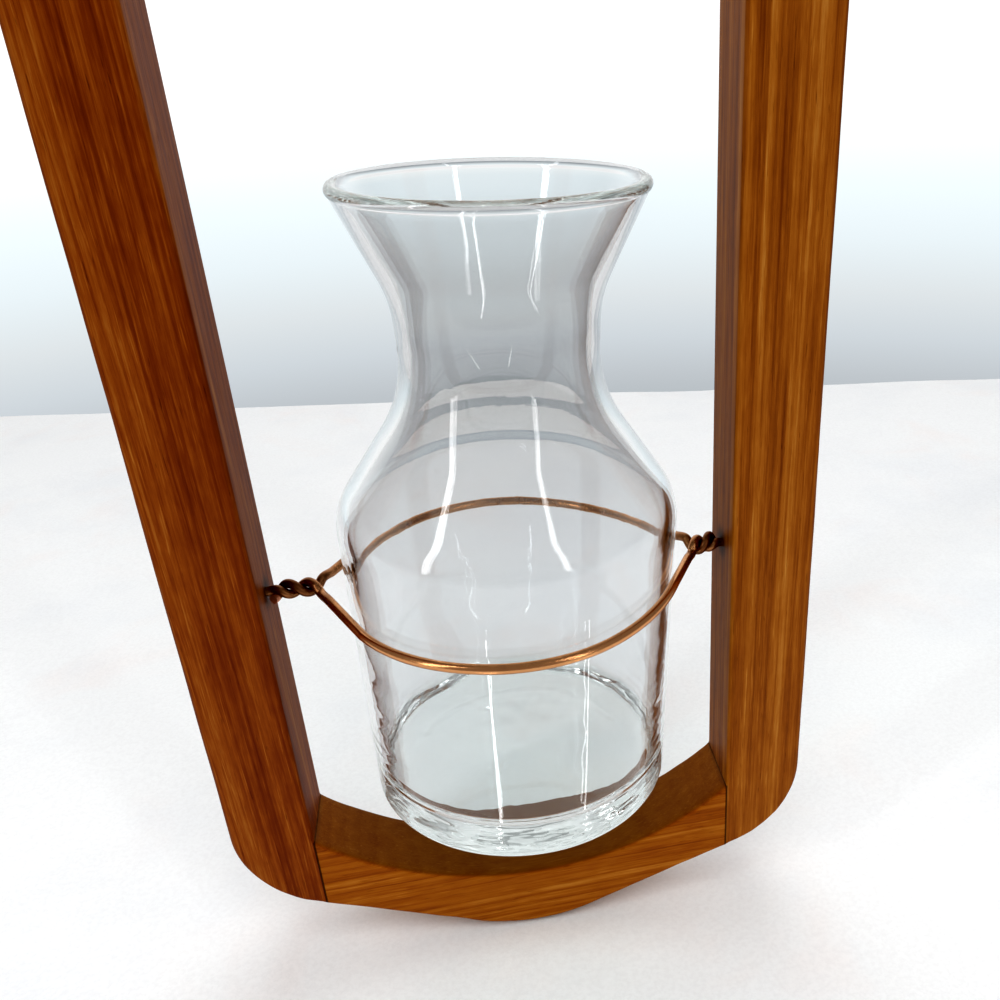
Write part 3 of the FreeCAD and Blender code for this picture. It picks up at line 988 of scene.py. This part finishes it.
@dataclass(frozen=True)
class GlassVase:
    """The hanging vase: heavy base, straight body, waisted neck, beaded lip.

    Waves and depths say how far the surface stands off its section, and a
    reach says how far above and below its middle a mark goes.
    """

    height: float = 131.8
    foot: float = 33.4
    body: float = 35.3
    shoulder: float = 69.1
    neck_low: tuple[float, float] = (19.0, 92.6)
    neck_high: tuple[float, float] = (20.0, 111.1)
    mouth: float = 29.3
    wall: float = 2.3
    floor: float = 7.2
    floor_round: float = 3.5
    heel_round: float = 2.0
    shoulder_round: float = 13.0
    neck_rounds: tuple[float, float] = (28.0, 22.0)
    kick: tuple[float, float] = (25.0, 2.0)
    bead: float = 1.2
    lean: float = math.radians(1.8)
    base_at: tuple[float, float, float] = (0.807, 0.0, -286.114)
    soft_waves: float = 0.012
    inner_waves: tuple[float, float] = (0.03, 0.006)
    full_to: float = 56.0
    chill_depth: float = 0.06
    chill_pitch: float = 3.1
    chill_at: float = 23.0
    chill_reach: float = 12.0
    seam: float = 9.6
    seam_depth: float = 0.16
    seam_reach: float = 0.3
    base_waves: float = 0.045
    sole_waves: float = 0.02
    turns: int = 288
    finish: GlassFinish = GlassFinish()

    def section(self) -> tuple[Array, Array]:
        """Find the closed section from the axis under the base to the axis inside.

        The inside is the outside moved in by the wall, down to a flat floor,
        and the lip is part of a circle between the two.

        Returns:
            Points (radius, height), and 1 on the outside and -1 on the inside.
        """
        lip_r, lip_h = self.mouth - self.bead, self.height - self.bead
        outer = [(self.foot, 0.0), (self.body, self.shoulder), self.neck_low, self.neck_high,
                 (lip_r + self.wall / 2, lip_h)]
        inner = inset(np.array(outer), self.wall)
        (foot_r, foot_h), (wall_r, wall_h) = inner[:2]
        floor_r = foot_r + (wall_r - foot_r) * (self.floor - foot_h) / (wall_h - foot_h)
        inner = [(0.0, self.floor), (floor_r, self.floor), *map(tuple, inner[1:])]
        outer = [(0.0, self.kick[1]), (self.kick[0], 0.0), *outer]
        outside = rounded_path(outer, [0, self.heel_round, self.shoulder_round, *self.neck_rounds], 40)
        inside = rounded_path(inner, [self.floor_round, self.shoulder_round - self.wall,
                                      *(r + self.wall for r in self.neck_rounds)], 40)[::-1]
        hub = np.array([lip_r, lip_h])
        run = run_of(outside)[-1]
        # Few points lie under the base, many round the heel and the seam.
        outside = resample(outside, np.concatenate([np.linspace(0, 24, 14), np.linspace(24.5, 46, 66),
                                                    np.linspace(46.6, run, 98)]))
        inside = resample(inside, np.linspace(0, run_of(inside)[-1], 120))
        outside = outside[np.linalg.norm(outside - hub, axis=1) > self.bead]
        inside = inside[np.linalg.norm(inside - hub, axis=1) > self.bead]
        start, end = (math.atan2(*(p - hub)[::-1]) for p in (outside[-1], inside[0]))
        angle = np.linspace(start, end % (2 * np.pi), 22)[1:-1, None]
        lip = hub + self.bead * np.hstack([np.cos(angle), np.sin(angle)])
        sign = np.concatenate([np.ones(len(outside) + 10), -np.ones(len(inside) + 10)])
        return np.vstack([outside, lip, inside]), sign

    def uneven(self, around: Array, radius: Array, up: Array, outside: Array) -> Array:
        """Find how far the surface stands off its section.

        Long soft waves as the glass sagged when hot, chill rings low on the
        left and right, a groove at the mould's seam and short ripples below it,
        both deeper in front, and a rough sole are added up.

        Args:
            around: the angle round the axis, from the right to the back.
            radius: the distance from the axis, in millimetres.
            up: the height above the foot, in millimetres.
            outside: 1 on the outside and -1 on the inside.

        Returns:
            The offsets along the section's normals, in millimetres.
        """
        ring = np.stack([np.cos(around) * 20, np.sin(around) * 20, up], -1)
        wall = np.clip(radius / 12, 0, 1) ** 2
        full = 1 / (1 + np.exp((up - self.full_to) / 4))
        soft = self.soft_waves * ripple(ring, 3, (24, 24, 14)) * (up < 125)
        broad, close = self.inner_waves
        inner = full * (broad * ripple(ring, 5, (15, 15, 10)) + close * ripple(ring, 6, (6, 6, 3)))
        bent = 1.5 * ripple(ring, 7, (30, 30, 60))
        chill = self.chill_depth * np.sin(2 * np.pi * up / self.chill_pitch + bent)
        chill *= np.exp(-((up - self.chill_at) / self.chill_reach) ** 2) * np.cos(around) ** 4
        groove = -self.seam_depth * np.exp(-((up - self.seam) / self.seam_reach) ** 2)
        worn = 0.6 - 0.4 * np.sin(around)
        fine = np.stack([np.cos(around) * 33, np.sin(around) * 33, up], -1)
        base = self.base_waves * ripple(fine, 9, (3.6, 3.6, 0.9), 24) * np.exp(-((up - 5.0) / 3.4) ** 4)
        under = np.stack([np.cos(around) * radius, np.sin(around) * radius], -1)
        sole = self.sole_waves * ripple(under, 12, (5, 5), 16) * (radius < 28) * (up < 3)
        outer = soft * 0.6 + (radius > 29) * (up < 55) * (chill + (groove + base) * worn ** 2) + sole
        return wall * np.where(outside > 0, outer, (soft + inner) * (up > self.floor + 0.5) * (up < 122))

    def build(self) -> None:
        """Turn the section about the axis, then lean it."""
        line, side = self.section()
        way = np.gradient(line, axis=0)
        out = np.stack([way[:, 1], -way[:, 0]], 1)
        out /= np.linalg.norm(out, axis=1)[:, None]
        angle = np.linspace(0, 2 * np.pi, self.turns, endpoint=False)
        inner = slice(1, len(line) - 1)
        around, radius = np.meshgrid(angle, line[inner, 0])
        up = np.repeat(line[inner, 1:], self.turns, 1)
        gap = self.uneven(around, radius, up, np.repeat(side[inner, None], self.turns, 1))
        radius = radius + gap * out[inner, :1]
        up = up + gap * out[inner, 1:]
        rows = np.stack([radius * np.cos(around), radius * np.sin(around), up], -1)
        spots = np.vstack([rows.reshape(-1, 3), [[0, 0, line[0, 1]], [0, 0, line[-1, 1]]]])
        count = rows.shape[0] * self.turns
        ends = np.arange(self.turns)
        faces = [lattice(rows.shape[0], self.turns, closed=True), fan(ends[::-1], count),
                 fan(ends + count - self.turns, count + 1)]
        c, s = math.cos(self.lean), math.sin(self.lean)
        lean = np.array([[c, 0, s], [0, 1, 0], [-s, 0, c]])
        piece = solid("glass_vase_blown", spots @ lean.T + self.base_at, faces, 180.0)
        hand_over(piece, Body.VASE, Slot.GLASS, self.finish.material(), "glass_vase")


# The copper ring


@dataclass(frozen=True)
class Twist:
    """How the two wires wind on each other between the ring and a post."""

    side: int
    start: float
    length: float
    turns: float
    straight: float
    spread: float


@dataclass(frozen=True)
class WireRing:
    """A front and a back copper wire, twisted together at both posts."""

    radius: float = 1.025
    strand_r: float = 1.04
    ring_r: float = 35.969
    ring_x: float = 2.4
    hinge: float = -233.3635
    post_x: float = 49.00005
    pin: float = 11.0
    tip: float = 0.15
    bend: float = 4.5
    lay: float = 0.1
    swell: float = 0.18
    flare: float = 0.9
    flare_l: float = 1.6
    uneven: float = 0.012
    sides: int = 20
    pitch: float = 0.33
    lip: float = 0.86
    dull_from: float = 33.0
    dull_over: float = 9.0
    left: Twist = Twist(-1, 40.4, 11.0, 1.4, 0.5, 1.02)
    right: Twist = Twist(1, 39.499, 7.101, 1.3, 0.3, 1.16)
    finish: CopperFinish = CopperFinish()

    def strand(self, place: Twist, front: int, share: Array) -> Array:
        """Find points of a twisted wire.

        It is a helix whose angle grows a little faster at the ring. The front
        wire's radius fades to nothing and the back wire's doubles as the front
        wire straightens, and both flare where they part.

        Args:
            place: the twist.
            front: -1 for the front wire and 1 for the back wire.
            share: the points' shares of the way to the post.

        Returns:
            The points, one row each.
        """
        angle = 2 * np.pi * place.turns * (share + self.lay * share * (1 - share))
        late = np.clip((share - place.straight) / (1 - place.straight), 0, None)
        blend = late ** 2 * (3 - 2 * late)
        early = np.clip(1 - share * place.length / self.flare_l, 0, None)
        wide = place.spread + self.swell * 4 * blend * (1 - blend) + self.flare * early ** 2
        radius = self.strand_r * (wide * (1 - blend) if front < 0 else wide + (2 - wide) * blend)
        return np.stack([self.ring_x + place.side * (place.start + share * place.length),
                         front * radius * np.cos(angle), self.hinge - front * radius * np.sin(angle)], 1)

    def on_glass(self, vase: GlassVase, angle: Array, front: int, z: Array) -> Array:
        """Find points of the wire beside the glass.

        The reach is the leaning wall's radius at that height plus the wire and
        a small gap. Height and reach are settled by turns.

        Args:
            vase: the glass.
            angle: the points' angles from the left.
            front: -1 for the front wire and 1 for the back wire.
            z: the points' heights.

        Returns:
            The points, one row each.
        """
        axis = np.array([math.sin(vase.lean), 0, math.cos(vase.lean)])
        base = np.array(vase.base_at)
        middle = base[0] + (z - base[2]) * axis[0] / axis[2]
        spots = np.stack([middle, np.zeros_like(z), z], 1)
        for _ in range(4):
            up = (spots - base) @ axis
            reach = vase.foot + (vase.body - vase.foot) * up / vase.shoulder + self.radius + 0.15
            spots = np.stack([middle - reach * np.cos(angle) / axis[2], front * reach * np.sin(angle), z], 1)
        return spots

    def centreline(self, vase: GlassVase, front: int, sag: float, shares: Sequence[float]) -> Array:
        """Find the whole line of one wire from left to right.

        It has a pin or cut end, the left twist, a bend, a straight stretch to
        where it is tangent to the glass, the round stretch with its sag, and
        the same again on the right.

        Args:
            vase: the glass.
            front: -1 for the front wire and 1 for the back wire.
            sag: how far the round stretch hangs, in millimetres.
            shares: evenly spaced shares of that sag, from left to right.

        Returns:
            The points, one row each.
        """
        twists = (self.left, self.right)
        tips = [self.strand(p, front, np.zeros(1))[0] for p in twists]
        reach = [(p.side * (t[0] - self.ring_x), abs(t[1])) for p, t in zip(twists, tips)]
        angles = [math.atan2(y, x) + math.acos(self.ring_r / math.hypot(x, y)) for x, y in reach]
        first, last = angles[0], math.pi - angles[1]
        knots = np.linspace(first, last, len(shares))
        fine = np.linspace(first, last, 181)
        k = np.clip(np.searchsorted(knots, fine) - 1, 0, len(knots) - 2)
        gap = knots[1] - knots[0]
        s, slopes = np.array(shares), np.gradient(np.array(shares), knots) * gap
        drop = hermite((fine - knots[k]) / gap, (s[k], s[k + 1]), (slopes[k], slopes[k + 1]))
        arc = self.on_glass(vase, fine, front, self.hinge - sag * drop)
        parts = []
        for place, tip, touch in zip(twists, tips, (arc[0], arc[-1])):
            share = np.linspace(0, 1, 70)
            wound = self.strand(place, front, share)
            way = (touch - tip) / np.linalg.norm(touch - tip)
            heading = wound[0] - wound[1]
            heading /= np.linalg.norm(heading)
            knee = tip + way * self.bend
            pulls = heading * self.bend, way * self.bend
            bend = hermite(np.linspace(0, 1, 16)[:, None], (tip, knee), pulls)
            run = np.linspace(knee, touch, 8)[1:-1]
            ends = np.array([[1, 0, 0]]) * place.side * np.linspace(0, self.pin, 12)[1:, None] + wound[-1]
            tail = [ends[::-1]] if front < 0 else []
            parts.append(np.vstack([*tail, wound[::-1], bend[1:], run]))
        return np.vstack([parts[0], arc, parts[1][::-1]])

    def tube(self, name: str, line: Array, trimmed: bool) -> bpy.types.Object:
        """Make a round wire along a line.

        Each ring of points lies square to the line, a pitch from the last and
        turned so that its first point is the highest, and each end is a
        narrower ring round a hub.

        Args:
            name: the piece's name.
            line: the points of its middle.
            trimmed: whether it is cut square, just clear of the post.

        Returns:
            The piece.
        """
        run = run_of(line)
        line = resample(line, np.linspace(0, run[-1], int(run[-1] / self.pitch)))
        sides = self.sides
        way = np.gradient(line, axis=0)
        way /= np.linalg.norm(way, axis=1)[:, None]
        if trimmed:
            reach = np.abs(line[:, 0]) + self.radius * np.sqrt(1 - way[:, 0] ** 2)
            clear = reach < self.post_x - self.tip
            line, way = line[clear], way[clear]
        up = np.array([0, 0, 1.0]) - way * way[:, 2:]
        up /= np.linalg.norm(up, axis=1)[:, None]
        side = np.cross(way, up)
        angle = np.linspace(0, 2 * np.pi, sides, endpoint=False)[None, :, None]
        reach = self.radius * (1 - self.uneven * np.abs(ripple(line, 4, (6, 6, 6))))[:, None, None]
        rings = line[:, None] + reach * (np.cos(angle) * up[:, None] + np.sin(angle) * side[:, None])
        hubs = np.array([rings[0].mean(0), rings[-1].mean(0)])
        lips = [hub + (ring - hub) * self.lip for hub, ring in zip(hubs, (rings[0], rings[-1]))]
        count = len(rings) * sides
        numbers = np.arange(sides)
        spots = np.vstack([rings.reshape(-1, 3), *lips, hubs])
        after = np.roll(numbers, -1)
        faces = [lattice(len(rings), sides, closed=True),
                 np.stack([after, numbers, numbers + count, after + count], 1),
                 np.stack([numbers + count - sides, after + count - sides, after + count + sides,
                           numbers + count + sides], 1),
                 fan(numbers[::-1] + count, count + 2 * sides),
                 fan(numbers + count + sides, count + 2 * sides + 1)]
        piece = solid(name, spots, faces, 50.0)
        at = points_of(piece.data)
        twisted = np.clip((np.abs(at[:, 0] - self.ring_x) - self.dull_from) / self.dull_over, 0, 1)
        patina = twisted * 0.55 + (0.3 if trimmed else 0.12)
        gap = np.minimum(*(np.linalg.norm(at - hub, axis=1) for hub in hubs))
        mark(piece.data, "patina", patina)
        mark(piece.data, "cut", (gap < self.radius * 1.4).astype(float) * trimmed)
        return piece

    def build(self, vase: GlassVase) -> None:
        """Bend both wires round the vase.

        Args:
            vase: the glass that they hold.
        """
        material = self.finish.material()
        for name, front, sag, shares in (
                ("front_wire", -1, 2.45, (0.98, 1.0, 1.0, 1.0, 0.86, 0.4, -0.15)),
                ("back_wire", 1, 1.7, (-0.1, 0.0, 0.35, 0.65, 1.0, 0.9, 0.5))):
            line = self.centreline(vase, front, sag, shares)
            piece = self.tube(name + "_bent", line, front > 0)
            hand_over(piece, Body.RING, Slot.COPPER, material, name)


# The studio


@dataclass(frozen=True)
class Studio:
    """The ground, the light and the camera, in metres and degrees.

    Powers are in watts, for each metre of a window's width and each square
    metre of a glint. The camera's turns are in radians. The lens is in pixels
    of the picture, as are its centre's two places.
    """

    ground: float = -0.3311
    front_edge: float = -0.45
    back_edge: float = 0.4
    edge_slope: float = -0.151
    dim: float = 0.36
    aim: float = -0.2
    window_up: float = 27.0
    window_far: float = 1.1
    window_tall: float = 1.25
    window_power: float = 35.0
    glint_power: float = 28.0
    wall: tuple[tuple[float, Colour], ...] = (
        (0.0, (0.3, 0.32, 0.34)), (0.16, (0.52, 0.56, 0.585)), (0.19, (0.59, 0.625, 0.655)),
        (0.225, (0.68, 0.725, 0.76)), (0.265, (0.775, 0.815, 0.835)), (0.31, (0.85, 0.92, 0.95)),
        (0.36, (0.92, 1.0, 1.03)), (0.42, (1.06, 1.1, 1.1)), (0.46, (1.12, 1.12, 1.12)),
        (1.0, (1.0, 1.0, 1.0)))
    eye: tuple[float, float, float] = (-0.00465, -0.19328, -0.12958)
    yaw: float = 0.137
    pitch: float = 0.494
    roll: float = -0.044
    focal: float = 1014.712
    centre: tuple[float, float] = (601.185, 560.272)
    picture: float = 1000.0

    def floor(self) -> None:
        """Lay a table top with long soft swells, its far edge behind the frame."""
        across, deep = 161, 101
        x, y = np.meshgrid(np.linspace(-1.6, 1.6, across), np.linspace(self.front_edge, self.back_edge, deep))
        y = y + x * self.edge_slope * (y - self.front_edge) / (self.back_edge - self.front_edge)
        flat = np.stack([x, y], -1).reshape(-1, 2)
        z = self.ground - 0.0006 - 0.0005 * ripple(flat, 31, (0.09, 0.05), 14)
        spots = np.column_stack([flat, z]) / MM
        mesh = bpy.data.meshes.new("table_top")
        mesh.from_pydata((spots * MM).tolist(), [], lattice(deep, across).tolist())
        mesh.materials.append(ClothFinish().material())
        made = bpy.data.objects.new("table_top", mesh)
        bpy.context.scene.collection.objects.link(made)
        smooth(mesh, 180.0)

    def lamp(self, name: str, place: Vector, turn: Matrix, size: tuple[float, float], power: float,
             glossy: bool = True) -> None:
        """Hang a rectangular light that the camera doesn't see.

        Args:
            name: the light's name.
            place: its middle.
            turn: its turn, from facing down.
            size: its width and height.
            power: its power in watts.
            glossy: whether glass and gloss show it.
        """
        data = bpy.data.lights.new(name, "AREA")
        data.shape, (data.size, data.size_y), data.energy = "RECTANGLE", size, power
        made = bpy.data.objects.new(name, data)
        made.matrix_world = Matrix.Translation(place) @ turn.to_4x4()
        made.visible_glossy = made.visible_transmission = glossy
        made.visible_camera = False
        bpy.context.scene.collection.objects.link(made)

    def panel(self, name: str, azimuth: float, elevation: float, far: float, size: tuple[float, float],
              power: float, glossy: bool = True) -> None:
        """Aim a light at the vase.

        Args:
            name: the light's name.
            azimuth: its direction in degrees, 0 in front and 90 on the right.
            elevation: its height in degrees.
            far: its distance.
            size: its width and height.
            power: its power in watts.
            glossy: whether glass and gloss show it.
        """
        a, e = math.radians(azimuth), math.radians(elevation)
        way = Vector((math.sin(a) * math.cos(e), -math.cos(a) * math.cos(e), math.sin(e)))
        turn = (-way).to_track_quat("-Z", "Y").to_matrix()
        self.lamp(name, Vector((0, 0, self.aim)) + way * far, turn, size, power, glossy)

    def window(self, name: str, azimuth: float, bars: Sequence[tuple[float, float]]) -> None:
        """Light a tall window.

        Args:
            name: the window's name.
            azimuth: its direction in degrees.
            bars: the degrees that each bright bar is off it, and the bar's width.
        """
        for number, (offset, width) in enumerate(bars):
            self.panel(f"{name}_{number}", azimuth + offset, self.window_up, self.window_far,
                       (width, self.window_tall), self.window_power * width)

    def glint(self, name: str, start: tuple[float, float], end: tuple[float, float], width: float) -> None:
        """Lay a bright line on the table in front, which shows in the glass only.

        Args:
            name: the light's name.
            start: the middle of one end, on the table.
            end: the middle of the other.
            width: its width.
        """
        a, b = Vector((*start, self.ground + 0.001)), Vector((*end, self.ground + 0.001))
        along, down, size = (b - a).normalized(), Vector((0, 0, -1)), (width, (b - a).length)
        turn = Matrix((along.cross(down), along, down)).transposed()
        self.lamp(name, (a + b) / 2, turn, size, self.glint_power * size[0] * size[1])

    def room(self) -> None:
        """Set a pale wall behind, grey-blue low down, and a dimmer room round it."""
        world = bpy.data.worlds.new("pale_room")
        bpy.context.scene.world = world
        r = Recipe("pale_room", world)
        way = r.node("ShaderNodeTexCoord", out="Generated")
        wall = r.ramp(r.axis(way, "Z") + 0.5, self.wall)
        front = r.step(r.axis(way, "Y"), 0.35, 0.82, self.dim, 1.0)
        r.finish(r.node("ShaderNodeBackground", inputs={"Color": wall, "Strength": front}), kind="World")

    def camera(self) -> None:
        """Set the photograph's viewpoint, framing and lens."""
        cy, sy, cp, sp = math.cos(self.yaw), math.sin(self.yaw), math.cos(self.pitch), math.sin(self.pitch)
        ahead = Vector((sy * cp, cy * cp, -sp))
        level = Vector((cy, -sy, 0))
        raised = level.cross(ahead)
        across = level * math.cos(self.roll) + raised * math.sin(self.roll)
        up = raised * math.cos(self.roll) - level * math.sin(self.roll)
        data = bpy.data.cameras.new("camera")
        data.sensor_width = 36.0
        data.lens = self.focal / self.picture * data.sensor_width
        data.shift_x = 0.5 - self.centre[0] / self.picture
        data.shift_y = self.centre[1] / self.picture - 0.5
        data.clip_start, data.clip_end = 0.01, 20.0
        made = bpy.data.objects.new("camera", data)
        turn = Matrix((across, up, -ahead)).transposed().to_4x4()
        made.matrix_world = Matrix.Translation(self.eye) @ turn
        bpy.context.scene.collection.objects.link(made)
        bpy.context.scene.camera = made

    def build(self) -> None:
        """Set everything up, and how the picture is developed."""
        self.camera()
        self.floor()
        self.room()
        self.window("window_left", -57, ((-1.6, 0.026), (0, 0.03), (1.3, 0.014)))
        self.window("window_right", 32, ((-0.9, 0.018), (0.3, 0.018), (1.5, 0.008)))
        self.glint("glint_left", (-0.027, -0.08), (-0.066, -0.166), 0.003)
        self.glint("glint_right", (0.046, -0.067), (0.12, -0.125), 0.0018)
        self.panel("front_fill", 0, 55, 1.3, (0.9, 0.9), 8.5, glossy=False)
        self.panel("overhead", 165, 68, 1.3, (0.7, 0.7), 5.4, glossy=False)
        scene = bpy.context.scene
        scene.view_settings.view_transform, scene.view_settings.look = "Standard", "High Contrast"
        scene.view_settings.exposure = -0.5
        scene.view_settings.use_curve_mapping = True
        scene.view_settings.curve_mapping.black_level = (0.009, 0.009, 0.009)
        scene.cycles.max_bounces = scene.cycles.transmission_bounces = scene.cycles.glossy_bounces = 96
        scene.cycles.transparent_max_bounces = 16


LEFT_WOOD = WoodFinish(
    "left_post_stain", (0, 1.2, -28), (61, 0, 0),
    ((0.1, 0.014, 0.002), (0.185, 0.039, 0.005), (0.275, 0.078, 0.01), (0.42, 0.175, 0.034)),
    ((-2.4, 0.62), (-0.5, 0.55), (2.5, 0.42), (4.5, 0.53), (7.0, 0.48), (9.6, 0.38), (11.9, 0.63),
     (13.5, 0.5)), streak_share=0.35, line_share=0.5)
RIGHT_WOOD = WoodFinish(
    "right_post_stain", (0, -0.5, 24), (-58, 0, 0),
    ((0.165, 0.042, 0.005), (0.285, 0.093, 0.011), (0.37, 0.14, 0.02), (0.5, 0.245, 0.06)),
    ((-9.6, 0.34), (-9.2, 0.5), (-7.0, 0.46), (-6.3, 0.34), (-4.7, 0.48), (-3.8, 0.6), (-3.4, 0.46),
     (1.6, 0.43), (2.6, 0.62), (4.4, 0.62), (5.3, 0.43), (6.9, 0.45)), line_share=0.65)
RAIL_WOOD = WoodFinish(
    "rail_stain", (0, -87, 0), (-310, 0, 0),
    ((0.165, 0.033, 0.004), (0.29, 0.086, 0.007), (0.37, 0.13, 0.012), (0.5, 0.225, 0.042)),
    ((-12, 0.48), (0, 0.5), (12, 0.54)), ring=2.4, ring_share=0.14, streak_share=0.7)


def main() -> None:
    """Build the pieces in order."""
    logging.basicConfig(level=logging.INFO, format="%(name)s %(message)s")
    Studio().build()
    Post(-1, LEFT_WOOD, Slot.LEFT).build()
    Post(1, RIGHT_WOOD, Slot.RIGHT).build()
    for level in Level:
        Rail(level, RAIL_WOOD).build()
    Dowels().dress()
    vase = GlassVase()
    vase.build()
    WireRing().build(vase)


if __name__ == "__main__":
    main()
